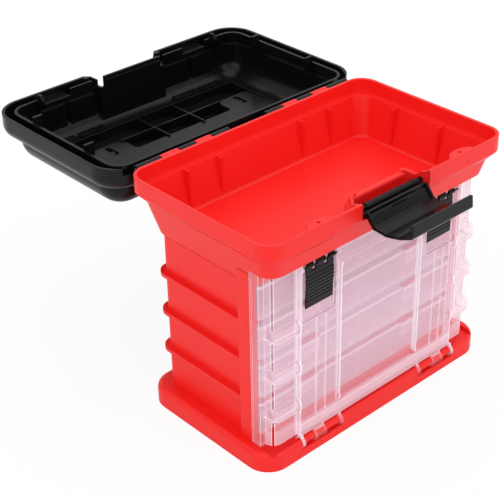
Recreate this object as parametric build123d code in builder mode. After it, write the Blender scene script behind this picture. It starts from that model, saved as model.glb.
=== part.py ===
from build123d import *
import os

os.makedirs("parts", exist_ok=True)

# A rack tackle box, stored with its lid thrown back. Millimetres: X to the right along the front,
# Y to the rear, Z up, origin at the middle of the underside.

# Clearances shared by the fits
seat_gap = 0.3        # between pieces set against each other
swing_gap = 0.6       # round pieces that swing past each other
pin_gap = 0.05        # radial, round a hinge pin or a moulded hinge rod

# Plinth
plinth_length_less = 4.6   # shorter than the bin
plinth_width_less = 15.0   # narrower than the bin
plinth_corner = 21.0
plinth_height = 17.5
plinth_edge = 5.0
plinth_wall = 3.0
floor_rise = 2.8      # rack floor above the plinth's top
channel_drop = 3.5    # channel for the door's foot, below the plinth's top
lip_width = 3.0       # plinth lip left in front of the channel
foot_rib = 2.0
foot_rib_pitch = 52.0

# Door hinge: two rods moulded in notches of the plinth
rod_radius = 3.5
rod_inset = 4.0
rod_drop = 4.0        # axis below the plinth's top
hook_wall = 1.75
notch_centre = 70.0
notch_length = 46.0

# Rack
rack_wall = 2.5
rack_end_gap = 1.0    # from the bin's foot to the rack's outside, each end
rack_rear_inset = 13.0
rack_corner = 7.0
post_depth = 13.2
ledge_reach = 4.7
ledge_edge = 3.5
rail_reach = 4.5
rail_thickness = 3.0

# Bin
bin_length = 270.0
bin_width = 165.0
bin_height = 53.6
bin_corner = 17.0
bin_wall = 2.8
collar_height = 13.6
bevel_height = 8.0
bevel_inset = 7.0
flare_inset = 8.0     # from the bevel's foot down to the bin's bottom
bin_bottom_edge = 6.0
bin_ledge_height = 12.1
bin_ledge = 5.7
bin_floor = 5.0
skirt_rise = 18.0     # front skirt's lower edge above the bin's bottom
bin_rib = 2.0
bin_rib_reach = 7.0
bin_rib_round = 5.0
rear_rib_places = (47.0, 82.0)
side_rib_places = (-21.5, 30.0)
rim_pad_place = 80.0
rim_pad_length = 27.0
rim_pad_depth = 6.95
rim_pad_hole = 1.6

# Lid hinge
knuckle_radius = 4.0
knuckle_reach = 5.1   # axis behind the bin's rim
hinge_drop = 4.6      # axis below the bin's rim
hinge_pin = 1.5
pin_end_inset = 0.5
knuckle_shares = (0.0778, 0.1519, 0.2148, 0.2815, 0.3519, 0.4444)   # of the bin's length

# Lid, described lying open behind the box
lid_end_reach = 7.0   # beyond the bin's end
lid_front_reach = 6.8 # beyond the bin's front when shut
lid_corner = 26.6
lid_rim_rise = 1.0    # rim above the hinge axis
lid_height = 45.0
lid_wall = 2.6
skirt_foot = 21.0     # skirt's height, its rounding included
skirt_round = 10.5
body_inset = 11.5
body_corner = 22.0
body_round = 19.5
lip_wall = 2.5
lip_gap = 0.4
lip_near_gap = 9.7
lip_far_gap = 2.9
groove_depth = 15.5
lid_rib = 1.6
lid_rib_height = 12.6
rib_cell = 26.5
rib_middle_place = 20.5
pad_spans = ((41.0, 70.0), (73.5, 100.0))
pad_rise = 2.0
front_tab_place = 100.5
side_tab_places = (38.8, -34.2)
tab_width = 2.4
tab_reach = 10.0

# Channel in the lid's front that the latch swings into, with a tongue at its back
way_half = 35.0
way_mouth = 41.5
way_flare = 7.0
way_depth = 11.7      # behind the line of the bin's front
way_wall = 2.2
way_fin = 1.6
tongue_half = 32.8
tongue_rise = 3.6
tongue_ledge = 0.8

# Carry handle and its recess in the lid
handle_pivot_place = 89.4
handle_pivot_drop = 5.0
handle_arm_place = 75.5
handle_arm = 4.4
handle_grip_width = 14.0
handle_grip_height = 6.2
handle_reach = 28.0
handle_pin = 1.8
recess_depth = 8.4
recess_half = 94.4
recess_inner = 58.0
recess_corner = 6.0
recess_near_reach = 38.4
recess_bar_gap = 13.2
recess_far_reach = 8.4

# Lid latch, described swung down to the front, and its pocket in the bin
latch_half = 34.0
latch_pivot_inset = 8.1    # behind the bin's front
latch_pivot_drop = 9.4     # below the bin's rim
latch_barrel = 3.0
latch_bar_half = 27.4
latch_knob = 3.3
latch_knob_length = 1.8
latch_pin = 2.2
latch_wall = 2.4
latch_trough = 9.0
latch_ridge = 1.8
latch_ridge_rise = 1.4
latch_drop_run = 6.1
latch_drop = 6.8
latch_dish = 38.7
latch_step = 0.4
latch_slot_half = 8.5
pocket_mouth_half = 38.2
pocket_middle_half = 35.4
pocket_back_half = 28.7
pocket_middle_depth = 11.1
latch_pocket_depth = 19.2
latch_pocket_drop = 15.1
pocket_slope_drop = 12.0
pocket_slope_run = 9.8
pocket_bead = 4.5
pocket_bead_drop = 4.2
pocket_side_top = ((2.0, 0.0), (5.5, 1.9), (8.5, 2.8), (11.5, 5.4), (16.5, 3.8), (22.6, 2.3))   # depth, drop

# Door
door_foot_gap = 0.8   # above the plinth's top
door_wall = 2.0
door_set = 4.3        # face behind the hinge rods' axis
door_depth = 19.0     # from the face to the rack's front
door_strip_depth = 10.0
door_end_inset = 0.8
door_corner = 9.0
panel_inset = 26.2
panel_rise = 4.2
band_height = 13.0
band_reach = 5.0
band_rise = 30.7      # lowest band above the door's foot
band_spread = 0.75    # bands' pitch beyond the trays' pitch
window_margin = 6.5
window_foot = 14.7
window_head = 15.4
window_depth = 2.0
window_corner = 6.0
pocket_margin = 2.0
pocket_width = 37.0
pocket_height = 53.4
pocket_depth = 3.0
hook_half = 5.5
hook_shift = 2.5
end_hook = 2.2
seam_rib = 1.2        # thin upright ribs below the door latches
seam_rib_rise = 0.8
seam_rib_shifts = (-6.0, 4.5)

# Door latches
door_latch_shift = 1.0
door_latch_width = 31.0
door_latch_pin = 1.2
door_latch_barrel = 2.4
door_latch_drop = 3.6   # pivot below the door's top
door_latch_wall = 2.2
door_latch_groove = 0.6
door_latch_grooves = 7
door_latch_slot_place = 8.0

# Trays
tray_wall = 1.6
tray_side_gap = 0.7
tray_front_gap = 1.3
tray_rear_gap = 0.5
tray_height = 30.5
tray_headroom = 3.2
low_tray_headroom = 2.6
top_tray_headroom = 1.5
tray_lid = 2.0
tray_corner = 5.0
divider_places = (-58.0, 0.0, 58.0)
divider = 1.2
clasp_length = 22.0
clasp_reach = 2.4
clasp_height = 13.0
clasp_place = 62.0

# Heights worked out from the sizes above, from the plinth up
floor_top = plinth_height + floor_rise
channel_floor = plinth_height - channel_drop
rod_height = plinth_height - rod_drop
first_rail = floor_top + seat_gap + tray_height + low_tray_headroom + rail_thickness
tray_pitch = seat_gap + tray_height + tray_headroom + rail_thickness
bin_bottom = first_rail + 2 * tray_pitch + seat_gap + tray_height + top_tray_headroom
bin_top = bin_bottom + bin_height
bin_inside = bin_bottom + bin_floor
skirt_bottom = bin_bottom + skirt_rise
collar_bottom = bin_top - collar_height
bevel_bottom = collar_bottom - bevel_height
ledge_top = bin_top - bin_ledge_height
hinge_height = bin_top - hinge_drop
lid_rim = hinge_height + lid_rim_rise
lid_bottom = lid_rim - lid_height
lid_rib_top = lid_bottom + lid_rib_height
closed_rim = 2 * hinge_height - bin_top     # bin's rim plane in the open lid's frame
tab_top = 2 * hinge_height - ledge_top - swing_gap
latch_pivot_z = bin_top - latch_pivot_drop
latch_ridge_top = latch_pivot_z + latch_ridge_rise
door_bottom = plinth_height + door_foot_gap
door_top = skirt_bottom - swing_gap
window_bottom = door_bottom + window_foot
window_top = door_top - window_head
pocket_bottom = door_top - pocket_height
band_places = [door_bottom + band_rise + level * (tray_pitch + band_spread) for level in range(3)]

# Depths worked out, from the front to the rear
plinth_width = bin_width - plinth_width_less
bin_front = -bin_width / 2
channel_front = -plinth_width / 2 + lip_width
rod_y = -plinth_width / 2 + rod_inset
hook_inner = rod_radius + pin_gap
hook_outer = hook_inner + hook_wall
door_face = rod_y + door_set
panel_face = door_face - panel_rise
rack_front = door_face + door_depth
rack_rear = plinth_width / 2 - rack_rear_inset
tray_front = rack_front - tray_front_gap
tray_rear = rack_rear - rack_wall - tray_rear_gap
latch_pivot_y = bin_front + latch_pivot_inset
hinge_y = bin_width / 2 + knuckle_reach
closed_front = 2 * hinge_y - bin_front      # bin's front rim in the open lid's frame
lid_near = hinge_y + knuckle_radius
lid_far = closed_front + lid_front_reach
lid_depth = lid_far - lid_near
lid_centre_y = (lid_near + lid_far) / 2
way_back = closed_front - way_depth
handle_pivot_y = lid_near + handle_pivot_place
recess_near = handle_pivot_y - recess_near_reach
recess_bar_far = handle_pivot_y - recess_bar_gap
recess_far = handle_pivot_y + recess_far_reach

# Lengths worked out, from the bin inward and outward
plinth_length = bin_length - plinth_length_less
bin_foot_inset = bevel_inset + flare_inset
rack_half = bin_length / 2 - bin_foot_inset - rack_end_gap
rack_width = 2 * rack_half
rack_inner = rack_half - rack_wall
tray_half = rack_inner - tray_side_gap
door_strip_half = rack_half + ledge_reach
door_half = rack_half - door_end_inset
panel_half = door_half - panel_inset
pocket_outer = panel_half - pocket_margin
pocket_inner = pocket_outer - pocket_width
window_half = pocket_inner - window_margin
door_latch_centre = (pocket_inner + pocket_outer) / 2 - door_latch_shift
hook_place = notch_centre + hook_shift
seam_rib_places = [door_latch_centre + shift for shift in seam_rib_shifts]
lid_length = bin_length + 2 * lid_end_reach
knuckle_ends = [share * bin_length for share in knuckle_shares]
pocket_pivot_share = (latch_pivot_inset - bin_wall) / (pocket_middle_depth - bin_wall)
pocket_pivot_half = pocket_mouth_half + (pocket_middle_half - pocket_mouth_half) * pocket_pivot_share
latch_pin_half = pocket_pivot_half + bin_wall - seat_gap


def block(x0, x1, y0, y1, z0, z1, mode=Mode.ADD):
    """Straight block between two corners."""
    with BuildSketch(Plane.XY.offset(z0)) as outline:
        with Locations(((x0 + x1) / 2, (y0 + y1) / 2)):
            Rectangle(x1 - x0, y1 - y0)
    extrude(outline.sketch, amount=z1 - z0, mode=mode)


def slab(length, width, corner, z0, z1, y=0.0, mode=Mode.ADD):
    """Upright slab with rounded corners in plan."""
    with BuildSketch(Plane.XY.offset(z0)) as outline:
        with Locations((0, y)):
            RectangleRounded(length, width, corner)
    extrude(outline.sketch, amount=z1 - z0, mode=mode)


def taper(low, high, z0, z1):
    """Flared slab between two rounded outlines, each (length, width, corner)."""
    with BuildSketch(Plane.XY.offset(z0)) as foot:
        RectangleRounded(*low)
    with BuildSketch(Plane.XY.offset(z1)) as head:
        RectangleRounded(*high)
    loft([foot.sketch.face(), head.sketch.face()], ruled=True)


def rod(x0, x1, y, z, radius, mode=Mode.ADD):
    """Round bar along X."""
    with BuildSketch(Plane.YZ.offset(x0)) as outline:
        with Locations((y, z)):
            Circle(radius)
    extrude(outline.sketch, amount=x1 - x0, mode=mode)


def prism(x0, x1, *points, mode=Mode.ADD):
    """Straight-sided outline in the (y, z) plane, carried along X."""
    with BuildSketch(Plane.YZ.offset(x0)) as outline:
        with BuildLine():
            Polyline(*points, close=True)
        make_face()
    extrude(outline.sketch, amount=x1 - x0, mode=mode)


def both_sides(inner, outer):
    """The same stretch of X on the right and on the left."""
    return ((inner, outer), (-outer, -inner))


# Plinth: hollow foot with a raised rack floor, a channel for the door and the door's hinge rods
with BuildPart() as base_plinth:
    slab(plinth_length, plinth_width, plinth_corner, 0, plinth_height)
    fillet(base_plinth.edges().group_by(Axis.Z)[-1], plinth_edge)
    floor_depth = rack_rear - rack_wall - seat_gap - rack_front
    slab(2 * (rack_inner - seat_gap), floor_depth, rack_corner - rack_wall, plinth_height, floor_top,
         y=rack_front + floor_depth / 2)
    block(-door_strip_half - seat_gap, door_strip_half + seat_gap, channel_front, rack_front,
          channel_floor, floor_top, mode=Mode.SUBTRACT)
    hollow_front = rod_y + hook_outer + seat_gap + plinth_wall
    hollow_length = plinth_length - 2 * plinth_wall
    hollow_rear = plinth_width / 2 - plinth_wall
    with BuildSketch():
        with Locations((0, (hollow_front + hollow_rear) / 2)):
            RectangleRounded(hollow_length, hollow_rear - hollow_front, plinth_corner - plinth_wall)
    extrude(amount=channel_floor - plinth_wall, mode=Mode.SUBTRACT)
    for step in range(-2, 3):
        rib_x = step * foot_rib_pitch
        block(rib_x - foot_rib / 2, rib_x + foot_rib / 2, hollow_front, hollow_rear, 0,
              channel_floor - plinth_wall)
    block(-hollow_length / 2, hollow_length / 2, -foot_rib / 2, foot_rib / 2, 0,
          channel_floor - plinth_wall)
    for x0, x1 in both_sides(notch_centre - notch_length / 2, notch_centre + notch_length / 2):
        block(x0, x1, -plinth_width / 2 - 1, rod_y + hook_outer + seat_gap,
              rod_height - hook_outer - seat_gap, floor_top, mode=Mode.SUBTRACT)
        rod(x0, x1, rod_y, rod_height, rod_radius)
base_plinth.part.label = "base_plinth"
export_step(base_plinth.part, "parts/base_plinth.step")

# Outer form of the bin: collar, bevel and flared wall
bin_rim_outline = (bin_length, bin_width, bin_corner)
bevel_outline = (bin_length - 2 * bevel_inset, bin_width - 2 * bevel_inset, bin_corner - 3)
bin_foot_outline = (bin_length - 2 * bin_foot_inset, bin_width - 2 * bin_foot_inset, bin_corner - 4)
with BuildPart() as bin_form:
    taper(bin_foot_outline, bevel_outline, bin_bottom, bevel_bottom)
    fillet(bin_form.edges().group_by(Axis.Z)[0], bin_bottom_edge)
    taper(bevel_outline, bin_rim_outline, bevel_bottom, collar_bottom)
    slab(*bin_rim_outline, collar_bottom, bin_top)

# Rack: walls with outside ledges and inside rails, front posts, all cut to the bin's underside
with BuildPart() as rack_carcass:
    with BuildSketch(Plane.XY.offset(plinth_height)):
        with Locations((0, (rack_front + rack_rear) / 2)):
            Rectangle(rack_width, rack_rear - rack_front)
        fillet(vertices().group_by(Axis.Y)[-1], rack_corner)
    extrude(amount=skirt_bottom - plinth_height)
    for x0, x1 in both_sides(rack_half, rack_half + ledge_reach):
        block(x0, x1, rack_front, rack_front + post_depth, plinth_height, skirt_bottom)
    for level in range(3):
        ledge_z = first_rail + level * tray_pitch
        for top, bottom, draft in ((ledge_z, ledge_z - ledge_edge, 0),
                                   (ledge_z - ledge_edge, ledge_z - ledge_edge - ledge_reach, 45)):
            with BuildSketch(Plane.XY.offset(top)):
                with Locations((0, (rack_front + rack_rear + ledge_reach) / 2)):
                    Rectangle(rack_width + 2 * ledge_reach, rack_rear + ledge_reach - rack_front)
                fillet(vertices().group_by(Axis.Y)[-1], rack_corner + ledge_reach)
            extrude(amount=bottom - top, taper=draft)
    with BuildSketch(Plane.XY.offset(plinth_height)):
        with Locations((0, (rack_front - rack_wall + rack_rear - rack_wall) / 2)):
            Rectangle(2 * rack_inner, rack_rear - rack_front)
        fillet(vertices().group_by(Axis.Y)[-1], rack_corner - rack_wall)
    extrude(amount=skirt_bottom - plinth_height, mode=Mode.SUBTRACT)
    for level in range(3):
        rail_top = first_rail + level * tray_pitch
        for x0, x1 in both_sides(rack_inner - rail_reach, rack_inner):
            block(x0, x1, rack_front + 1, rack_rear - rack_wall, rail_top - rail_thickness, rail_top)
    add(bin_form.part, mode=Mode.SUBTRACT)
    block(-rack_half - 20, rack_half + 20, rack_front - 30, rack_front, 0, skirt_bottom + 20,
          mode=Mode.SUBTRACT)
rack_carcass.part.label = "rack_carcass"
export_step(rack_carcass.part, "parts/rack_carcass.step")

# Hollow of the bin: wide under the rim, a ledge, then a tapered well; shallow over the door
well_inset = bin_wall + bin_ledge
well_foot_inset = bin_foot_inset + 1
well_rim = (bin_length - 2 * well_inset, bin_width - 2 * well_inset, bin_corner - 4)
well_foot = (bin_length - 2 * well_foot_inset, bin_width - 2 * well_foot_inset, bin_corner - 5)
with BuildPart() as bin_hollow:
    taper(well_foot, well_rim, bin_inside, ledge_top)
    fillet(bin_hollow.edges().group_by(Axis.Z)[0], bin_wall)
    slab(bin_length - 2 * bin_wall, bin_width - 2 * bin_wall, bin_corner - bin_wall, ledge_top, bin_top)
    block(-bin_length, bin_length, -bin_width, rack_front + bin_wall, bin_bottom, skirt_bottom + bin_wall,
          mode=Mode.SUBTRACT)

# Latch pocket of the bin, which narrows to the rear: its outline seen from above
pocket_middle = bin_front + pocket_middle_depth
pocket_back = bin_front + latch_pocket_depth
pocket_rear = pocket_back + bin_wall
pocket_floor = bin_top - latch_pocket_drop
pocket_foot = pocket_floor - bin_wall - pocket_slope_drop
bead_top = bin_top - pocket_bead_drop


def pocket_plan(wall, height):
    """Outline of the pocket at one height, with its side and back walls when wall isn't zero."""
    right = ((pocket_mouth_half + wall, bin_front), (pocket_mouth_half + wall, bin_front + bin_wall),
             (pocket_middle_half + wall, pocket_middle), (pocket_back_half + wall, pocket_back + wall))
    left = [(-x, y) for x, y in reversed(right)]
    with BuildSketch(Plane.XY.offset(height)) as outline:
        with BuildLine():
            Polyline(*right, *left, close=True)
        make_face()
        fillet(outline.vertices().group_by(Axis.Y)[-1], 2 + wall)
    return outline.sketch


# Latch pocket: sloped underside, curved side tops, and a bead along its lower back wall
with BuildPart() as pocket_block:
    extrude(pocket_plan(bin_wall, pocket_foot), amount=bin_top - pocket_foot)
    extrude(pocket_plan(0, pocket_floor), amount=bin_top - pocket_floor, mode=Mode.SUBTRACT)
    prism(-bin_length / 2, bin_length / 2, (pocket_rear + 1, pocket_floor - bin_wall),
          (pocket_rear, pocket_floor - bin_wall), (pocket_rear - pocket_slope_run, pocket_foot),
          (pocket_rear - pocket_slope_run, pocket_foot - 1), (pocket_rear + 1, pocket_foot - 1),
          mode=Mode.SUBTRACT)
    with BuildSketch(Plane.YZ.offset(-bin_length / 2)):
        with BuildLine():
            side_top = Spline(*((bin_front + depth, bin_top - drop) for depth, drop in pocket_side_top))
            Polyline(side_top @ 1, (pocket_rear + 1, bin_top + 1), (bin_front, bin_top + 1), side_top @ 0)
        make_face()
    extrude(amount=bin_length, mode=Mode.SUBTRACT)
    with BuildSketch(Plane.XZ.offset(-pocket_back)):
        with BuildLine():
            Polyline((-pocket_back_half + 4, bead_top), (pocket_back_half - 4, bead_top),
                     (pocket_back_half, bin_top), (-pocket_back_half, bin_top), close=True)
        make_face()
    extrude(amount=-bin_wall - 1, mode=Mode.SUBTRACT)
    with BuildSketch(Plane.YZ.offset(-pocket_back_half)):
        with Locations((pocket_rear - pocket_bead / 2, bead_top - pocket_bead / 2)):
            RectangleRounded(pocket_bead, pocket_bead, pocket_bead / 3)
    extrude(amount=2 * pocket_back_half)

# Ribs, rim pads and latch pocket of the bin, trimmed to its hollow
rib_y = bin_width / 2 - well_inset - bin_rib_reach
rib_x = bin_length / 2 - well_inset - bin_rib_reach
with BuildPart() as bin_ribs:
    for place in rear_rib_places:
        for x in (place, -place):
            with BuildSketch(Plane.YZ.offset(x - bin_rib / 2)):
                with Locations((rib_y + 10, (bin_bottom + ledge_top) / 2)):
                    Rectangle(20, ledge_top - bin_bottom)
                fillet(vertices().group_by(Axis.Z)[-1].sort_by(Axis.Y)[0], bin_rib_round)
            extrude(amount=bin_rib)
    for y in side_rib_places:
        for side in (1, -1):
            with BuildSketch(Plane.XZ.offset(-y - bin_rib / 2)):
                with Locations((side * (rib_x + 10), (bin_bottom + ledge_top) / 2)):
                    Rectangle(20, ledge_top - bin_bottom)
                fillet(vertices().group_by(Axis.Z)[-1].sort_by(Axis.X)[0 if side == 1 else -1], bin_rib_round)
            extrude(amount=bin_rib)
    for side in (1, -1):
        with BuildSketch(Plane.XY.offset(bin_top - bin_wall)):
            with Locations((side * rim_pad_place, bin_front + bin_wall)):
                Ellipse(rim_pad_length / 2, rim_pad_depth)
            with Locations((side * rim_pad_place, bin_front + bin_wall + 2.5)):
                Circle(rim_pad_hole, mode=Mode.SUBTRACT)
        extrude(amount=bin_wall)
    add(pocket_block.part)
    add(bin_hollow.part, mode=Mode.INTERSECT)

# Bin: flared wall and skirt, with the pieces above, the latch pocket's mouth and the hinge knuckles
with BuildPart() as top_bin:
    add(bin_form.part)
    block(-bin_length, bin_length, -bin_width, rack_front, 0, skirt_bottom, mode=Mode.SUBTRACT)
    add(bin_hollow.part, mode=Mode.SUBTRACT)
    extrude(pocket_plan(0, pocket_floor), amount=latch_pocket_drop + 1, mode=Mode.SUBTRACT)
    block(-pocket_mouth_half, pocket_mouth_half, -bin_width, bin_front + bin_wall, pocket_floor, bin_top + 1,
          mode=Mode.SUBTRACT)
    add(bin_ribs.part)
    rod(-bin_length / 3, bin_length / 3, latch_pivot_y, latch_pivot_z, latch_pin + pin_gap,
        mode=Mode.SUBTRACT)
    for start, end in ((knuckle_ends[1], knuckle_ends[2]), (knuckle_ends[3], knuckle_ends[4])):
        for x0, x1 in both_sides(start + seat_gap, end - seat_gap):
            rod(x0, x1, hinge_y, hinge_height, knuckle_radius)
            prism(x0, x1, (bin_width / 2 - bin_wall / 2, hinge_height - 2.2 * knuckle_radius),
                  (bin_width / 2, hinge_height - 2.2 * knuckle_radius),
                  (hinge_y + 0.6 * knuckle_radius, hinge_height - 0.8 * knuckle_radius), (hinge_y, hinge_height),
                  (hinge_y, hinge_height + 0.85 * knuckle_radius),
                  (bin_width / 2 - bin_wall / 2, hinge_height + 0.85 * knuckle_radius))
            rod(x0, x1, hinge_y, hinge_height, hinge_pin + pin_gap, mode=Mode.SUBTRACT)
top_bin.part.label = "top_bin"
export_step(top_bin.part, "parts/top_bin.step")

# Inside of the lid, and its front wall's raised pads
lid_body_length = lid_length - 2 * body_inset
lid_body_depth = lid_depth - 2 * body_inset
lid_inside_y = lid_centre_y + lid_body_depth / 2 - lid_wall
with BuildPart() as lid_hollow:
    slab(lid_body_length - 2 * lid_wall, lid_body_depth - 2 * lid_wall, body_corner - lid_wall,
         lid_bottom + lid_wall, lid_rim, y=lid_centre_y)
    fillet(lid_hollow.edges().group_by(Axis.Z)[0], body_round - lid_wall)
pad_inset = lid_wall + pad_rise
with BuildPart() as pad_hollow:
    slab(lid_body_length - 2 * pad_inset, lid_body_depth - 2 * pad_inset, body_corner - pad_inset,
         lid_bottom + pad_inset, lid_rim, y=lid_centre_y)
with BuildPart() as lid_pads:
    for inner, outer in pad_spans:
        for x0, x1 in both_sides(inner, outer):
            block(x0, x1, lid_inside_y - body_round + lid_wall, lid_inside_y, lid_bottom + lid_wall,
                  lid_rim - groove_depth + 4)
    add(lid_hollow.part, mode=Mode.INTERSECT)
    add(pad_hollow.part, mode=Mode.SUBTRACT)

# Outline of the recess that the carry handle folds into
with BuildSketch() as recess_plan:
    with Locations((0, (recess_near + recess_bar_far) / 2)):
        Rectangle(2 * recess_half, recess_bar_far - recess_near)
    recess_arm = recess_half - recess_inner
    for side in (1, -1):
        with Locations((side * (recess_inner + recess_arm / 2), (recess_near + recess_far) / 2)):
            Rectangle(recess_arm, recess_far - recess_near)
    fillet(recess_plan.vertices(), recess_corner)

# Groove of the lid for the bin's rim, round the inner lip
lip_length = bin_length - 2 * bin_wall - 2 * lip_gap
lip_near_y = hinge_y + lip_near_gap
lip_far_y = closed_front - bin_wall - lip_far_gap
lip_depth = lip_far_y - lip_near_y
lip_y = (lip_far_y + lip_near_y) / 2
rim_clear = closed_rim - swing_gap
with BuildPart() as lid_groove:
    slab(lid_length - 2 * lid_wall, lid_depth - 2 * lid_wall, lid_corner - lid_wall, lid_rim - groove_depth,
         lid_rim, y=lid_centre_y)
    slab(lip_length, lip_depth, lid_corner - body_inset, lid_rim - groove_depth, lid_rim, y=lip_y,
         mode=Mode.SUBTRACT)
with BuildPart() as rim_ring:
    slab(bin_length + swing_gap, bin_width + swing_gap, bin_corner, rim_clear, lid_rim + 1, y=2 * hinge_y)
    slab(bin_length - 2 * bin_wall, bin_width - 2 * bin_wall, bin_corner - bin_wall, rim_clear, lid_rim + 1,
         y=2 * hinge_y, mode=Mode.SUBTRACT)

# Outer form of the lid, and the walls round its channel for the latch, trimmed to that form
with BuildPart() as lid_form:
    slab(lid_length, lid_depth, lid_corner, lid_rim - skirt_foot, lid_rim, y=lid_centre_y)
    fillet(lid_form.edges().group_by(Axis.Z)[0], skirt_round)
    slab(lid_body_length, lid_body_depth, body_corner, lid_bottom, lid_rim - skirt_round, y=lid_centre_y)
    fillet(lid_form.edges().group_by(Axis.Z)[0], body_round)
with BuildPart() as channel_walls:
    block(-way_half - way_wall, way_half + way_wall, way_back - way_wall, lid_far, lid_bottom, rim_clear)
    for x0, x1 in both_sides(way_half, way_mouth + lid_wall):
        block(x0, x1, closed_front + swing_gap, lid_far, lid_rim - skirt_foot, lid_rim)
    add(lid_form.part, mode=Mode.INTERSECT)
with BuildSketch(Plane.XY.offset(lid_bottom - 1)) as channel_plan:
    with BuildLine():
        Polyline((-way_mouth, lid_far + 1), (-way_mouth, lid_far), (-way_half, lid_far - way_flare),
                 (-way_half, way_back), (way_half, way_back), (way_half, lid_far - way_flare),
                 (way_mouth, lid_far), (way_mouth, lid_far + 1), close=True)
    make_face()
    fillet(channel_plan.vertices().group_by(Axis.Y)[0], 1.5)
    fillet(channel_plan.vertices().group_by(Axis.Y)[2], 6)

# Lid: skirt, body, groove, inner lip, latch channel, ribs, handle recess and hinge knuckles
recess_top = lid_bottom + recess_depth
handle_pivot_z = lid_bottom + handle_pivot_drop
rib_end = recess_far + rib_cell
with BuildPart() as lid_shell:
    add(lid_form.part)
    add(lid_hollow.part, mode=Mode.SUBTRACT)
    add(lid_groove.part, mode=Mode.SUBTRACT)
    add(rim_ring.part, mode=Mode.SUBTRACT)
    slab(lip_length - 2 * lip_wall, lip_depth - 2 * lip_wall, lid_corner - body_inset - lip_wall,
         lid_rim - skirt_round, lid_rim, y=lip_y, mode=Mode.SUBTRACT)
    cut_half = bin_length / 2 - 7
    block(-cut_half, cut_half, lid_near - 1, lid_near + lid_wall + swing_gap, rim_clear, lid_rim + 1,
          mode=Mode.SUBTRACT)
    pocket_clear = pocket_mouth_half + bin_wall + swing_gap
    block(-pocket_clear, pocket_clear, lip_far_y - lip_wall - 1, lip_far_y + 1, rim_clear, lid_rim + 1,
          mode=Mode.SUBTRACT)
    for x0, x1 in both_sides(rim_pad_place - rim_pad_length / 2, rim_pad_place + rim_pad_length / 2):
        block(x0 - swing_gap, x1 + swing_gap, lip_far_y - lip_wall - 1, lip_far_y + 1, rim_clear, lid_rim + 1,
              mode=Mode.SUBTRACT)
        block(x0, x1, lip_far_y - 1, lid_far - lid_wall / 2, rim_clear - lid_wall, rim_clear)
    add(lid_pads.part)
    add(channel_walls.part)
    extrude(channel_plan.sketch, amount=lid_height + 2, mode=Mode.SUBTRACT)
    block(-tongue_half, tongue_half, way_back - way_wall, way_back, rim_clear - 1, lid_rim + tongue_rise)
    block(tongue_ledge - tongue_half, tongue_half - tongue_ledge, way_back - way_wall - tongue_ledge, way_back,
          lid_rim - tongue_ledge, lid_rim)
    for x0, x1 in both_sides(way_half, way_half + way_fin):
        block(x0, x1, way_back + 5, closed_front, rim_clear - 1, lid_rim - 1)
    for x0, x1 in both_sides(front_tab_place - tab_width / 2, front_tab_place + tab_width / 2):
        prism(x0, x1, (lip_far_y - 1, rim_clear - 4), (lip_far_y - 1, tab_top - 2), (lip_far_y - 3, tab_top),
              (lip_far_y - tab_reach + 3, tab_top), (lip_far_y - tab_reach, tab_top - 4),
              (lip_far_y - tab_reach, lid_rim - 2), (lip_far_y - 2, rim_clear - 4))
    for y in side_tab_places:
        for x0, x1 in both_sides(lip_length / 2 - tab_reach, lip_length / 2 - 1):
            block(x0, x1, 2 * hinge_y + y - tab_width / 2, 2 * hinge_y + y + tab_width / 2, rim_clear - 2,
                  tab_top)
    with BuildSketch(Plane.XY.offset(lid_bottom + lid_wall / 2)):
        add(recess_plan.sketch)
        offset(amount=lid_wall)
    extrude(amount=recess_depth + lid_wall / 2)
    for y, half in ((recess_far, recess_inner), (rib_end, recess_half)):
        block(-half, half, y - lid_rib / 2, y + lid_rib / 2, lid_bottom + lid_wall / 2, lid_rib_top)
    for x in (-recess_half, -rib_middle_place, rib_middle_place, recess_half):
        block(x - lid_rib / 2, x + lid_rib / 2, recess_bar_far, rib_end + lid_rib / 2,
              lid_bottom + lid_wall / 2, lid_rib_top)
    with BuildSketch(Plane.XY.offset(lid_bottom)):
        add(recess_plan.sketch)
    extrude(amount=recess_depth, mode=Mode.SUBTRACT)
    for side in (1, -1):
        with BuildSketch(Plane.XY.offset(lid_bottom)):
            with Locations((side * handle_arm_place, handle_pivot_y)):
                SlotOverall(2 * (recess_far - handle_pivot_y), handle_arm + 4 * seat_gap, rotation=90)
        extrude(amount=recess_depth + 2 * lid_wall, mode=Mode.SUBTRACT)
        arm_x = side * handle_arm_place
        for ear_x in (arm_x - handle_arm / 2 - seat_gap - lid_wall, arm_x + handle_arm / 2 + seat_gap):
            block(ear_x, ear_x + lid_wall, handle_pivot_y - 4, handle_pivot_y + 4, lid_bottom + 1, recess_top)
            rod(ear_x, ear_x + lid_wall, handle_pivot_y, handle_pivot_z, handle_pin + pin_gap,
                mode=Mode.SUBTRACT)
    for start, end in ((0, 1), (2, 3), (4, 5)):
        first = knuckle_ends[start] + (seat_gap if start else 0)
        last = knuckle_ends[end] - (seat_gap if end < 5 else 0)
        for x0, x1 in both_sides(first, last):
            rod(x0, x1, hinge_y, hinge_height, knuckle_radius)
            prism(x0, x1, (hinge_y, hinge_height), (hinge_y + knuckle_radius - 0.1, hinge_height),
                  (lid_near + 0.5, rim_clear), (lid_near + 2, rim_clear), (lid_near + 2, rim_clear - 9),
                  (lid_near, rim_clear - 9), (hinge_y - 0.72 * knuckle_radius, hinge_height - 0.68 * knuckle_radius))
            rod(x0, x1, hinge_y, hinge_height, hinge_pin + pin_gap / 2, mode=Mode.SUBTRACT)
lid_shell.part.label = "lid_shell"
export_step(lid_shell.part, "parts/lid_shell.step")

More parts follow.
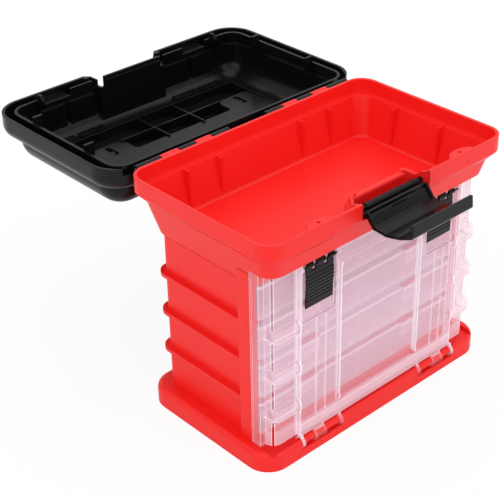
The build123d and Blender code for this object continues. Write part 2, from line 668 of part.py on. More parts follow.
# Hinge pins, one through each side's knuckles
pin_inner = knuckle_ends[0] + pin_end_inset
pin_outer = knuckle_ends[-1] - pin_end_inset
for name, start, end in (("lid_hinge_pin_left", -pin_outer, -pin_inner),
                         ("lid_hinge_pin_right", pin_inner, pin_outer)):
    with BuildPart() as lid_hinge_pin:
        rod(start, end, hinge_y, hinge_height, hinge_pin)
    lid_hinge_pin.part.label = name
    export_step(lid_hinge_pin.part, "parts/" + name + ".step")

# Carry handle: a low bail folded into the recess, with a pin through each arm
with BuildPart() as carry_handle:
    handle_half = handle_arm_place + handle_arm / 2
    with BuildSketch(Plane.YZ.offset(-handle_half)):
        with Locations((handle_pivot_y - handle_reach, handle_pivot_z)):
            RectangleRounded(handle_grip_width, handle_grip_height, handle_grip_height / 2.5)
    extrude(amount=2 * handle_half)
    for x0, x1 in both_sides(handle_arm_place - handle_arm / 2, handle_arm_place + handle_arm / 2):
        block(x0, x1, handle_pivot_y - handle_reach, handle_pivot_y,
              handle_pivot_z - handle_grip_height / 2, handle_pivot_z + handle_grip_height / 2)
        rod(x0, x1, handle_pivot_y, handle_pivot_z, handle_pivot_drop - 0.1)
        rod(x0 - lid_wall - 2 * seat_gap, x1 + lid_wall + 2 * seat_gap, handle_pivot_y, handle_pivot_z,
            handle_pin)
carry_handle.part.label = "carry_handle"
export_step(carry_handle.part, "parts/carry_handle.step")

# Lid latch: bar with end knobs, trough, ridge, stepped drop, dished plate and lip, swung down to the front
trough_y = latch_pivot_y - latch_trough
trough_z = latch_pivot_z - latch_barrel + 0.2
drop_y = trough_y - latch_drop_run
drop_z = trough_z - latch_drop
dish_y = drop_y - latch_dish
latch_path = ((latch_pivot_y, trough_z + 0.8), (trough_y, trough_z), (drop_y, drop_z),
              (drop_y - latch_dish / 3, drop_z - 1.2), (drop_y - latch_dish * 0.68, drop_z + 2),
              (dish_y, drop_z + 7.4), (dish_y + 1, drop_z + 17.2))
with BuildPart() as front_latch:
    with BuildSketch(Plane.YZ.offset(-latch_half)):
        with BuildLine():
            FilletPolyline(*latch_path, radius=1.8)
        trace(line_width=latch_wall)
    extrude(amount=2 * latch_half)
    rod(-latch_bar_half, latch_bar_half, latch_pivot_y, latch_pivot_z, latch_barrel)
    for x0, x1 in both_sides(latch_bar_half - latch_knob_length, latch_bar_half):
        rod(x0, x1, latch_pivot_y, latch_pivot_z, latch_knob)
    rod(-latch_pin_half, latch_pin_half, latch_pivot_y, latch_pivot_z, latch_pin)
    block(-latch_half, latch_half, trough_y + 0.2, trough_y + 0.2 + latch_ridge, trough_z, latch_ridge_top)
    for x0, x1 in both_sides(latch_half - latch_ridge, latch_half):
        prism(x0, x1, (trough_y + 0.9, latch_ridge_top), (trough_y - 0.8, latch_ridge_top - 0.4),
              (drop_y - 2, drop_z + 1.6), (drop_y - latch_dish / 4, drop_z - 1.6), (drop_y, drop_z - 1.6),
              (trough_y + 0.4, trough_z - 1.4))
    for share in (0.3, 0.55, 0.8):
        rod(-latch_half, latch_half, trough_y - latch_drop_run * share - 0.9,
            trough_z - latch_drop * share + 0.8, latch_step, mode=Mode.SUBTRACT)
    block(-latch_slot_half, latch_slot_half, trough_y - 4, trough_y - 0.6, trough_z - latch_step,
          trough_z + latch_step, mode=Mode.SUBTRACT)
front_latch.part.label = "front_latch"
export_step(front_latch.part, "parts/front_latch.step")

# Bulged band of the door, and the hollow inside it, made once at height zero
def band(inset, height, round_off):
    """Half-round band round the door's front and sides, centred on height zero."""
    with BuildPart() as form:
        half = door_half + band_reach - inset
        front = door_face - band_reach + inset
        with BuildSketch(Plane.XY.offset(-height / 2)) as outline:
            with Locations((0, front + 20)):
                Rectangle(2 * half, 40)
            fillet(outline.vertices().group_by(Axis.Y)[0], door_corner + band_reach - inset)
        extrude(outline.sketch, amount=height)
        fillet(form.edges().group_by(Axis.Z)[0] + form.edges().group_by(Axis.Z)[-1], round_off)
        block(-half, half, -door_strip_depth + rack_front - seat_gap, 0, -height, height,
              mode=Mode.SUBTRACT)
        block(-panel_half + 1 - inset, panel_half - 1 + inset, 2 * front, 0, -height, height,
              mode=Mode.SUBTRACT)
    return form.part


def door_plan(inset, rear):
    """Outline of the door seen from above: face, raised panel and side strips."""
    with BuildSketch() as outline:
        with Locations((0, (door_face + inset + rear) / 2)):
            Rectangle(2 * (door_half - inset), rear - door_face - inset)
        fillet(outline.vertices().group_by(Axis.Y)[0], door_corner - inset)
        strip_front = rack_front - seat_gap - door_strip_depth + inset
        with Locations((0, (strip_front + rear) / 2)):
            Rectangle(2 * (door_strip_half - inset), rear - strip_front)
        with Locations((0, (panel_face + inset + rear) / 2)):
            Rectangle(2 * (panel_half - inset), rear - panel_face - inset)
    return outline.sketch


# Door: thin moulded shell with bands, panel, window, latch pockets and hooks round the hinge rods
door_rear = rack_front - seat_gap
door_height = door_top - door_bottom
band_outer = band(0, band_height, band_reach)
band_inner = band(door_wall, band_height - 2 * door_wall, band_reach - door_wall)
pivot_y = panel_face + seat_gap
pivot_z = door_top - door_latch_drop
with BuildPart() as front_door:
    with BuildSketch(Plane.XY.offset(door_bottom)):
        add(door_plan(0, door_rear))
    extrude(amount=door_height)
    for place in band_places:
        with Locations((0, 0, place)):
            add(band_outer)
    with BuildSketch(Plane.XY.offset(door_bottom + door_wall)):
        add(door_plan(door_wall, door_rear + 1))
    extrude(amount=door_height - 2 * door_wall, mode=Mode.SUBTRACT)
    block(-door_half + door_wall, door_half - door_wall, door_face + door_wall, door_rear + 1, door_bottom,
          door_top, mode=Mode.SUBTRACT)
    for x0, x1 in both_sides(door_half - 3 * door_wall, door_strip_half - door_wall):
        block(x0, x1, door_rear - door_strip_depth + door_wall, door_rear + 1, door_bottom, door_top,
              mode=Mode.SUBTRACT)
    for place in band_places:
        with Locations((0, 0, place)):
            add(band_inner, mode=Mode.SUBTRACT)
    block(-window_half - door_wall, window_half + door_wall, panel_face + door_wall / 2,
          panel_face + window_depth + door_wall, window_bottom - door_wall, window_top + door_wall)
    with BuildSketch(Plane.XZ.offset(-panel_face)):
        with Locations((0, (window_bottom + window_top) / 2)):
            RectangleRounded(2 * window_half, window_top - window_bottom, window_corner)
    extrude(amount=-window_depth, mode=Mode.SUBTRACT)
    for x0, x1 in both_sides(pocket_inner, pocket_outer):
        block(x0 - door_wall, x1 + door_wall, panel_face, panel_face + pocket_depth + door_wall,
              pocket_bottom - door_wall, door_top)
        for ear_x in (x0 - door_wall, x1):
            rod(ear_x, ear_x + door_wall, pivot_y, pivot_z, door_latch_barrel)
        block(x0, x1, panel_face - 1, panel_face + pocket_depth, pocket_bottom, door_top + 1,
              mode=Mode.SUBTRACT)
        rod(x0 - door_wall - 1, x1 + door_wall + 1, pivot_y, pivot_z, door_latch_pin + pin_gap,
            mode=Mode.SUBTRACT)
        for rib_place in seam_rib_places:
            rib_middle = rib_place if x0 > 0 else -rib_place
            block(rib_middle - seam_rib / 2, rib_middle + seam_rib / 2, panel_face - seam_rib_rise,
                  panel_face, window_bottom, pocket_bottom)
        hook_x = hook_place if x0 > 0 else -hook_place
        notch_half = notch_length / 2 - seat_gap
        notch_x = notch_centre if x0 > 0 else -notch_centre
        for hook_x0, hook_x1 in ((hook_x - hook_half, hook_x + hook_half),
                                 (notch_x - notch_half, notch_x - notch_half + end_hook),
                                 (notch_x + notch_half - end_hook, notch_x + notch_half)):
            rod(hook_x0, hook_x1, rod_y, rod_height, hook_outer)
            block(hook_x0, hook_x1, rod_y - 2, rod_y + 2.5, rod_height, door_bottom + door_wall)
            rod(hook_x0, hook_x1, rod_y, rod_height, hook_inner, mode=Mode.SUBTRACT)
            prism(hook_x0, hook_x1, (rod_y, rod_height), (rod_y + 9, rod_height - 1),
                  (rod_y + 9, rod_height - 9), (rod_y - 1, rod_height - 9), mode=Mode.SUBTRACT)
    block(-panel_half, panel_half, panel_face - seam_rib_rise, panel_face, window_bottom - 3.5,
          window_bottom - 3.5 + seam_rib)
front_door.part.label = "front_door"
export_step(front_door.part, "parts/front_door.step")

# Door latches: ribbed levers that curve out of their pockets
latch_curve = ((pivot_y, pivot_z), (pivot_y - 3, pivot_z - 9), (pivot_y - 4.2, pivot_z - 20),
               (pivot_y - 1.2, pivot_z - 31), (pivot_y + 0.9, pivot_z - 37), (pivot_y + 0.5, pivot_z - 41.5))
for name, side in (("door_latch_left", -1), ("door_latch_right", 1)):
    with BuildPart() as door_latch:
        centre = side * door_latch_centre
        x0 = centre - door_latch_width / 2
        x1 = centre + door_latch_width / 2
        with BuildSketch(Plane.YZ.offset(x0)):
            with BuildLine():
                FilletPolyline(*latch_curve, radius=4)
            trace(line_width=door_latch_wall)
        extrude(amount=door_latch_width)
        rod(x0, x1, pivot_y, pivot_z, door_latch_barrel)
        for slot_x in (centre - door_latch_slot_place, centre + door_latch_slot_place):
            block(slot_x - 2, slot_x + 2, pivot_y - 9, pivot_y + 4, pivot_z - 4, pivot_z + 4,
                  mode=Mode.SUBTRACT)
        for step in range(door_latch_grooves):
            share = step / (door_latch_grooves - 1)
            groove_y = latch_curve[2][0] * (1 - share) + latch_curve[3][0] * share - door_latch_wall / 2
            groove_z = latch_curve[2][1] * (1 - share) + latch_curve[3][1] * share
            rod(x0 + 3, x1 - 3, groove_y - door_latch_groove / 2, groove_z, door_latch_groove,
                mode=Mode.SUBTRACT)
        pocket_ends = (pocket_inner, pocket_outer) if side == 1 else (-pocket_outer, -pocket_inner)
        rod(pocket_ends[0] - door_wall + 0.3, x0 + 1, pivot_y, pivot_z, door_latch_pin)
        rod(x1 - 1, pocket_ends[1] + door_wall - 0.3, pivot_y, pivot_z, door_latch_pin)
    door_latch.part.label = name
    export_step(door_latch.part, "parts/" + name + ".step")

# Trays, each with its lid, loose divider plates and lid clasps
tray_depth = tray_rear - tray_front
tray_y = (tray_rear + tray_front) / 2
for index in range(4):
    bottom = seat_gap + (floor_top if index == 0 else first_rail + (index - 1) * tray_pitch)
    rim = bottom + tray_height - tray_lid
    name = "tray_" + str(index + 1)
    with BuildPart() as tray:
        slab(2 * tray_half, tray_depth, tray_corner, bottom, rim, y=tray_y)
        slab(2 * (tray_half - tray_wall), tray_depth - 2 * tray_wall, tray_corner - tray_wall,
             bottom + tray_wall, rim, y=tray_y, mode=Mode.SUBTRACT)
    tray.part.label = name
    export_step(tray.part, "parts/" + name + ".step")

    with BuildPart() as tray_cover:
        slab(2 * tray_half, tray_depth, tray_corner, rim, rim + tray_lid, y=tray_y)
        slab(2 * (tray_half - 3 * tray_wall), tray_depth - 6 * tray_wall, tray_corner, rim + tray_lid / 2,
             rim + tray_lid, y=tray_y, mode=Mode.SUBTRACT)
    tray_cover.part.label = name + "_lid"
    export_step(tray_cover.part, "parts/" + name + "_lid.step")

    with BuildPart() as tray_dividers:
        for x in divider_places:
            block(x - divider / 2, x + divider / 2, tray_front + tray_wall + seat_gap,
                  tray_rear - tray_wall - seat_gap, bottom + tray_wall, rim - seat_gap)
    tray_dividers.part.label = name + "_dividers"
    export_step(tray_dividers.part, "parts/" + name + "_dividers.step")

    with BuildPart() as tray_clasps:
        clasp_front = tray_front - clasp_reach
        clasp_top = rim + tray_lid + 1.2
        for x0, x1 in both_sides(clasp_place - clasp_length / 2, clasp_place + clasp_length / 2):
            prism(x0, x1, (tray_front - seat_gap, clasp_top - clasp_height), (clasp_front, clasp_top - clasp_height),
                  (clasp_front, clasp_top), (tray_front + 3, clasp_top), (tray_front + 3, rim + tray_lid),
                  (tray_front - seat_gap, rim + tray_lid))
    tray_clasps.part.label = name + "_clasps"
    export_step(tray_clasps.part, "parts/" + name + "_clasps.step")
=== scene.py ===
import math
import bpy
import numpy as np
from mathutils import Matrix, Vector


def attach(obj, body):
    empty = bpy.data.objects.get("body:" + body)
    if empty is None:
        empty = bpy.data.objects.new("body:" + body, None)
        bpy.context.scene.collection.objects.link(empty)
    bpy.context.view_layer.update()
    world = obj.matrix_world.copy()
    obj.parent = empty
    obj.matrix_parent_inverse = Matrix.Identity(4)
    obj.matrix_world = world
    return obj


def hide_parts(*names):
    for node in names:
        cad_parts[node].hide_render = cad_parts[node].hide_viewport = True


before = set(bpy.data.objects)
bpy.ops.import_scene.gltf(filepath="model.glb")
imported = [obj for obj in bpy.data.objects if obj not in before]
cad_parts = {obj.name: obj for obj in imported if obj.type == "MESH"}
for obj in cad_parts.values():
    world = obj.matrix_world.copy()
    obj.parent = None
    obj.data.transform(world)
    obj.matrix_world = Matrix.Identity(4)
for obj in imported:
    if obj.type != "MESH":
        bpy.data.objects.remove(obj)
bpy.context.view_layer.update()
print("stage: frame loaded,", len(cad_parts), "nodes")

mm = 0.001
perMetre = 1000  # millimetres in a metre


class Wire:  # one shader socket that can stand in sums, products, powers and comparisons
    def __init__(self, graph, socket):
        self.graph = graph
        self.socket = socket

    def __add__(self, other):
        return self.graph.maths("ADD", self, other)

    def __sub__(self, other):
        return self.graph.maths("SUBTRACT", self, other)

    def __mul__(self, other):
        return self.graph.maths("MULTIPLY", self, other)

    def __truediv__(self, other):
        return self.graph.maths("DIVIDE", self, other)

    def __pow__(self, other):
        return self.graph.maths("POWER", self, other)

    def __gt__(self, other):
        return self.graph.maths("GREATER_THAN", self, other)

    def __lt__(self, other):
        return self.graph.maths("LESS_THAN", self, other)

    def __rsub__(self, other):
        return self.graph.maths("SUBTRACT", other, self)

    __radd__ = __add__
    __rmul__ = __mul__


class Graph:  # the nodes of one material, or of the world
    def __init__(self, owner):
        self.owner = owner
        owner.use_nodes = True
        self.tree = owner.node_tree
        self.tree.nodes.clear()

    def node(self, kind, settings=None, inputs=None, output=0):
        made = self.tree.nodes.new(kind)
        for key, value in (settings or {}).items():
            setattr(made, key, value)
        for key, value in (inputs or {}).items():
            if isinstance(value, Wire):
                self.tree.links.new(value.socket, made.inputs[key])
            else:
                made.inputs[key].default_value = value
        return Wire(self, made.outputs[output]) if made.outputs else None

    def maths(self, operation, a, b):
        return self.node("ShaderNodeMath", {"operation": operation}, {0: a, 1: b})

    def clamp(self, value):
        return self.node("ShaderNodeClamp", None, {"Value": value})

    def absolute(self, value):
        return self.node("ShaderNodeMath", {"operation": "ABSOLUTE"}, {0: value})

    def coordinates(self):
        return self.node("ShaderNodeTexCoord", output="Object")

    def places(self):  # x, y and z of the surface in millimetres
        apart = self.node("ShaderNodeSeparateXYZ", None, {0: self.coordinates()}).socket.node
        return [Wire(self, socket) * perMetre for socket in apart.outputs]

    def ray(self, kind):  # 1 for the rays of one kind: camera, shadow or transmission
        return self.node("ShaderNodeLightPath", output=f"Is {kind} Ray")

    def stripe(self, value, centre, half, soft):  # 1 within half of the centre, then down to 0 over soft
        return self.clamp((half + soft - self.absolute(value - centre)) / soft)

    def noise(self, scale, detail, vector=None):
        return self.node("ShaderNodeTexNoise", None,
                         {"Vector": vector or self.coordinates(), "Scale": scale, "Detail": detail}, "Fac")

    def rounded(self, radius, samples):  # the normal that the edges would have if they were rounded
        return self.node("ShaderNodeBevel", {"samples": samples}, {"Radius": radius})

    def mix(self, factor, first, second):  # sockets 6 and 7 take the colours, and output 2 gives the colour
        return self.node("ShaderNodeMix", {"data_type": "RGBA"}, {0: factor, 6: first, 7: second}, 2)

    def bump(self, height, strength, distance, normal=None):
        inputs = {"Height": height, "Strength": strength, "Distance": distance}
        if normal:
            inputs["Normal"] = normal
        return self.node("ShaderNodeBump", None, inputs)

    def finish(self, inputs):
        principled = self.node("ShaderNodeBsdfPrincipled", None, inputs)
        self.node("ShaderNodeOutputMaterial", None, {"Surface": principled})
        return self.owner


# Each noise is its scale and detail
redSettings = {"colour": (0.88, 0.016, 0.013, 1), "deep": (0.82, 0.011, 0.009, 1), "blotch": (11, 3),
               "grain": (1500, 1), "grainBump": 0.12, "grainDepth": 0.05 * mm, "edge": 0.9 * mm,
               "edgeSamples": 4, "roughness": 0.34, "blotchRough": 0.1, "grainRough": 0.04, "ior": 1.5,
               "specular": 0.3, "lightThrough": 0.5}

# Two sink marks on the bin's front collar: x, z and radius of each. Their darker red colour is painted shade
# in the hollows
dimple = {"places": ((-71.2, 203.8, 3.2), (85, 208, 2.6)), "rim": 1.6, "front": -75,
          "colour": (0.8, 0.002, 0.002, 1), "bump": 0.2, "depth": 0.4 * mm}


def dimpleMask(g):  # 1 inside the sink marks, down to 0 across their soft rims, and 0 behind the front wall
    x, y, z = g.places()
    mask = 0 * x
    for placeX, placeZ, radius in dimple["places"]:
        across = x - placeX
        up = z - placeZ
        distance = (across * across + up * up) ** 0.5
        mask = mask + g.clamp((radius + dimple["rim"] / 2 - distance) / dimple["rim"])
    return mask * (y < dimple["front"])


def redPlastic(name, lightThrough, dimpled=False):
    # Two reds mixed by a soft noise, a fine grain as bump over rounded edges; thin walls let some light in
    g = Graph(bpy.data.materials.new(name))
    blotch = g.noise(*redSettings["blotch"])
    grain = g.noise(*redSettings["grain"])
    colour = g.mix(blotch, redSettings["deep"], redSettings["colour"])
    edge = g.rounded(redSettings["edge"], redSettings["edgeSamples"])
    normal = g.bump(grain, redSettings["grainBump"], redSettings["grainDepth"], edge)
    if dimpled:
        mask = dimpleMask(g)
        # Painted shade: the sink marks are coloured a darker red, and the bump below dips them
        colour = g.mix(mask, colour, dimple["colour"])
        normal = g.bump(1 - mask, dimple["bump"], dimple["depth"], normal)
    roughness = redSettings["roughness"] + redSettings["blotchRough"] * blotch
    roughness = roughness - redSettings["grainRough"] * grain
    inputs = {"Base Color": colour, "Roughness": roughness, "Normal": normal, "IOR": redSettings["ior"],
              "Specular IOR Level": redSettings["specular"]}
    if lightThrough:
        inputs["Alpha"] = 1 - lightThrough * g.ray("Shadow")
    return g.finish(inputs)


blackSettings = {"colour": (0.003, 0.0029, 0.0034, 1), "worn": (0.0052, 0.005, 0.006, 1), "blotch": (14, 3),
                 "grain": (1900, 2), "grainBump": 0.25, "grainDepth": 0.05 * mm, "edge": 0.6 * mm,
                 "edgeSamples": 4, "roughness": 0.2, "blotchRough": 0.1, "ior": 1.5, "specular": 0.2}


def blackPlastic():  # near black, a little paler and duller in soft blotches, finely grained
    g = Graph(bpy.data.materials.new("blackPlastic"))
    blotch = g.noise(*blackSettings["blotch"])
    grain = g.noise(*blackSettings["grain"])
    edge = g.rounded(blackSettings["edge"], blackSettings["edgeSamples"])
    return g.finish({"Base Color": g.mix(blotch, blackSettings["colour"], blackSettings["worn"]),
                     "Roughness": blackSettings["roughness"] + blackSettings["blotchRough"] * blotch,
                     "Normal": g.bump(grain, blackSettings["grainBump"], blackSettings["grainDepth"], edge),
                     "IOR": blackSettings["ior"], "Specular IOR Level": blackSettings["specular"]})


# Milky plastic: each face hides a little of what is behind it and is whiter on its edges; most light goes
# through to the pieces behind. Haze in a name is a share of hiding, White a share of white
# The crimson colour in these settings is painted shade, laid in the gaps between the trays and in a line over
# the door's foot
frostSettings = {"white": (0.96, 0.9, 0.97, 1), "gapShade": (0.85, 0.06, 0.1, 1), "cloud": (16, 2),
                 "grain": (700, 2), "grainBump": 0.04, "grainDepth": 0.03 * mm, "grainRough": 0.08,
                 "roughness": 0.3, "ior": 1.49, "edge": 0.9 * mm, "edgeSamples": 3, "facingBlend": 0.35,
                 "facingPower": 3, "facingHaze": 0.26, "evenHaze": 0.9, "cloudHaze": 0.2, "edgeHaze": 1.8,
                 "gapShadeHaze": 0.35, "edgeWhite": 4, "cloudWhite": 0.2, "markWhite": 1.6, "lightThrough": 0.95}

# The door's marks: a stripe is its centre, half width and soft rim in millimetres
# The door's colour is whitish plastic; its pink tint is painted red light from the red case behind it
doorMarks = {"colour": (0.99, 0.74, 0.85, 1), "haze": 0.15, "panel": (92, 0.7, 0.6), "panelWhite": 0.45,
             "windowHalf": 46.5, "windowEdge": (0.9, 0.6), "windowSpan": (99, 65, 1.5), "windowWhite": 0.5,
             "bands": (49.0, 86.75, 124.5), "bandHalf": 5.4, "bandSoft": 1.0, "bandEnd": 91,
             "bandWhite": 0.05, "line": (0.5, 0.9), "lineWhite": 0.4, "strip": 118.2, "stripClear": 0.07,
             "foot": 33, "footSoft": 1.2, "footWhite": 0.16, "hooks": 18, "hookClear": 0.3,
             "milky": (85, 15, 45), "milkyWhite": 0.05, "allWhite": 0.02, "gapShade": (33.8, 0.4, 0.5)}


def doorWhiteness(g):
    # White: the panel's and the window's edges, the three bands with a line under each, and the foot.
    # Clearer: the strips at the door's ends and the hinge hooks. Gap shade: a crimson line of painted shade
    # over the foot, as wide as the window
    x, _, z = g.places()
    side = g.absolute(x)
    within = side < doorMarks["strip"]
    white = doorMarks["panelWhite"] * g.stripe(side, *doorMarks["panel"])
    windowEdge = g.stripe(side, doorMarks["windowHalf"], *doorMarks["windowEdge"])
    white = white + doorMarks["windowWhite"] * windowEdge * g.stripe(z, *doorMarks["windowSpan"])
    ends = (side > doorMarks["bandEnd"]) * within
    for place in doorMarks["bands"]:
        band = g.stripe(z, place, doorMarks["bandHalf"], doorMarks["bandSoft"])
        line = g.stripe(z, place - doorMarks["bandHalf"], *doorMarks["line"])
        white = white + ends * (doorMarks["bandWhite"] * band + doorMarks["lineWhite"] * line)
    foot = g.clamp((doorMarks["foot"] - z) / doorMarks["footSoft"]) * within
    white = white + doorMarks["footWhite"] * foot - doorMarks["stripClear"] * (1 - within)
    white = white - doorMarks["hookClear"] * (z < doorMarks["hooks"])
    white = white + doorMarks["milkyWhite"] * g.stripe(z, *doorMarks["milky"]) + doorMarks["allWhite"]
    return white, (side < doorMarks["windowHalf"]) * g.stripe(z, *doorMarks["gapShade"])


# The trays' marks repeat with the trays' pitch; each height is counted from a tray's underside
# The trays' colour is whitish plastic; its pink tint is painted red light from the red case around them
trayMarks = {"colour": (0.99, 0.66, 0.79, 1), "haze": 0.22, "first": 20, "pitch": 37, "lid": (29.2, 1.4, 0.8),
             "lidWhite": 0.3, "sole": (1.6, 1.2, 0.8), "soleWhite": 0.2, "shadedGap": (32.5, 1.2, 0.8)}


def trayWhiteness(g):  # white: the lids' rims and the floors' edges; gap shade: crimson painted shade in the gap between two trays
    _, _, z = g.places()
    level = g.maths("MODULO", z - trayMarks["first"], trayMarks["pitch"])
    white = trayMarks["lidWhite"] * g.stripe(level, *trayMarks["lid"])
    white = white + trayMarks["soleWhite"] * g.stripe(level, *trayMarks["sole"])
    # The second value marks painted shade in the gap between two trays
    return white, g.stripe(level, *trayMarks["shadedGap"])


def frostedPlastic(name, marks, whiteness):
    # It hides by its haze, more where it is seen on edge, where it bends and at its marks. Bends and marks
    # are whiter too, and the gap shade is painted shade in crimson
    g = Graph(bpy.data.materials.new(name))
    cloud = g.noise(*frostSettings["cloud"])
    grain = g.noise(*frostSettings["grain"])
    facing = g.node("ShaderNodeLayerWeight", None, {"Blend": frostSettings["facingBlend"]}, "Facing")
    edge = g.rounded(frostSettings["edge"], frostSettings["edgeSamples"])
    flat = g.node("ShaderNodeNewGeometry", output="Normal")
    bend = 1 - g.node("ShaderNodeVectorMath", {"operation": "DOT_PRODUCT"}, {0: edge, 1: flat}, "Value")
    white, gapShade = whiteness(g)
    haze = marks["haze"] * (frostSettings["evenHaze"] + frostSettings["cloudHaze"] * cloud)
    haze = haze + frostSettings["facingHaze"] * facing ** frostSettings["facingPower"]
    haze = haze + frostSettings["edgeHaze"] * bend + white + frostSettings["gapShadeHaze"] * gapShade
    pale = frostSettings["edgeWhite"] * bend + frostSettings["cloudWhite"] * cloud
    milky = g.mix(g.clamp(pale + frostSettings["markWhite"] * white), marks["colour"], frostSettings["white"])
    shadowShare = 1 - frostSettings["lightThrough"] * g.ray("Shadow")
    # Painted shade: the gap shade mask turns the colour crimson
    return g.finish({"Base Color": g.mix(gapShade, milky, frostSettings["gapShade"]),
                     "Roughness": frostSettings["roughness"] + frostSettings["grainRough"] * grain,
                     "Alpha": g.clamp(haze) * shadowShare,
                     "Normal": g.bump(grain, frostSettings["grainBump"], frostSettings["grainDepth"]),
                     "IOR": frostSettings["ior"]})


steelSettings = {"dark": (0.5, 0.5, 0.52, 1), "light": (0.68, 0.68, 0.7, 1), "stretch": (1, 60, 60),
                 "lines": (220, 2), "roughness": 0.25, "lineRough": 0.15, "lineBump": 0.15,
                 "lineDepth": 0.02 * mm}


def pinSteel():  # drawn steel: a noise stretched along the pin
    g = Graph(bpy.data.materials.new("pinSteel"))
    along = g.node("ShaderNodeMapping", None, {"Vector": g.coordinates(), "Scale": steelSettings["stretch"]})
    lines = g.noise(*steelSettings["lines"], along)
    return g.finish({"Base Color": g.mix(lines, steelSettings["dark"], steelSettings["light"]),
                     "Roughness": steelSettings["roughness"] + steelSettings["lineRough"] * lines,
                     "Normal": g.bump(lines, steelSettings["lineBump"], steelSettings["lineDepth"]),
                     "Metallic": 1.0})


red = redPlastic("redPlastic", 0)
thinRed = redPlastic("thinRedPlastic", redSettings["lightThrough"])
binRed = redPlastic("binRedPlastic", redSettings["lightThrough"], True)
black = blackPlastic()
doorFrost = frostedPlastic("doorFrost", doorMarks, doorWhiteness)
trayFrost = frostedPlastic("trayFrost", trayMarks, trayWhiteness)
steel = pinSteel()
finishes = {"base_plinth": red, "rack_carcass": thinRed, "top_bin": binRed, "lid_shell": black,
            "carry_handle": black, "front_latch": black, "door_latch_left": black, "door_latch_right": black,
            "front_door": doorFrost, "lid_hinge_pin_left": steel, "lid_hinge_pin_right": steel}
for name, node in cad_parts.items():
    node.data.materials.clear()
    node.data.materials.append(finishes.get(name, trayFrost))
print("stage: finishes on the nodes")


def addPiece(name, loops, material, body):
    # One mesh from several closed loops of points in millimetres and faces; it rides on a body
    counts = [len(points) for points, faces in loops]
    starts = np.cumsum([0] + counts[:-1])
    points = np.concatenate([points for points, faces in loops]) * mm
    faces = np.concatenate([faces + start for (_, faces), start in zip(loops, starts)])
    mesh = bpy.data.meshes.new(name)
    mesh.from_pydata(points.tolist(), [], faces.tolist())
    mesh.materials.append(material)
    piece = bpy.data.objects.new(name, mesh)
    bpy.context.scene.collection.objects.link(piece)
    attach(piece, body)
    return piece


strip = {"edgeStations": 5, "innerStations": 6}  # how many stations round each end, and between the ends


def stationsBetween(low, high, roundness):  # close together where the ends are rounded, then evenly spaced
    near = roundness * (1 - np.cos(np.linspace(0, math.pi / 2, strip["edgeStations"])))
    between = np.linspace(low + 2 * roundness, high - 2 * roundness, strip["innerStations"])
    return np.concatenate((low + near, between, (high - near)[::-1]))


def edgeShrink(stations, low, high, roundness, thickness):
    # How thick the strip is at each station, as a share of its thickness: 1, less a quarter circle of the
    # given roundness on both faces near the ends
    inwards = np.minimum(stations - low, high - stations)
    near = np.clip(1 - inwards / roundness, 0, 1)
    return 1 - 2 * roundness / thickness * (1 - np.sqrt(1 - near ** 2))


def roundedStrip(ends, front, back, roundness, thickness):
    # A front and a back line in (y, z), carried along x between the ends. At each station they are the middle
    # of the two, plus or minus half of their distance times the station's share. Both ends are closed
    low = min(ends)
    high = max(ends)
    stations = stationsBetween(low, high, roundness)
    shrink = edgeShrink(stations, low, high, roundness, thickness)[:, None, None]
    middle = (front + back) / 2
    reach = (front - back) / 2 * shrink
    section = np.concatenate((middle + reach, (middle - reach)[:, ::-1]), axis=1)
    ring = section.shape[1]
    across = np.broadcast_to(stations[:, None, None], (len(stations), ring, 1))
    points = np.concatenate((across, section), axis=2).reshape(-1, 3)
    column, row = np.meshgrid(np.arange(len(stations) - 1), np.arange(ring), indexing="ij")
    after = (row + 1) % ring
    sides = np.stack((column * ring + row, column * ring + after, (column + 1) * ring + after,
                      (column + 1) * ring + row), axis=-1).reshape(-1, 4)
    near = np.arange(len(front) - 1)
    first = np.stack((near, ring - 1 - near, ring - 2 - near, near + 1), axis=-1)
    last = first[:, ::-1] + (len(stations) - 1) * ring
    return points, np.concatenate((sides, first, last))


# Door latch in millimetres; a rate of 8 means that it is over in an eighth of the height
doorLatch = {"centre": 70.2, "half": 14.8, "pivot": (-70.6, 176.8), "top": 179, "bottom": 138, "wall": 1.5,
             "back": -68.05, "round": 0.4, "smallRound": 0.3, "linePoints": 240, "bow": 0.9, "bowRate": 1.15,
             "topBehind": 1, "topRate": 8, "tipRate": 40, "tipThin": 0.15, "grooves": 8, "firstGroove": 167,
             "groovePitch": 3.2, "grooveDepth": 0.5, "grooveHalf": 0.4, "lip": 0.12, "lipBelow": 1.5,
             "lipHalf": 1.2, "barrel": 1.6, "pin": 0.8, "pinInside": 1, "arcPoints": 25, "arcGap": 0.08,
             "slots": 6.4, "slotHalf": 1.8, "slotFoot": 6, "overlap": 0.4, "pocket": (53.2, 89.8)}


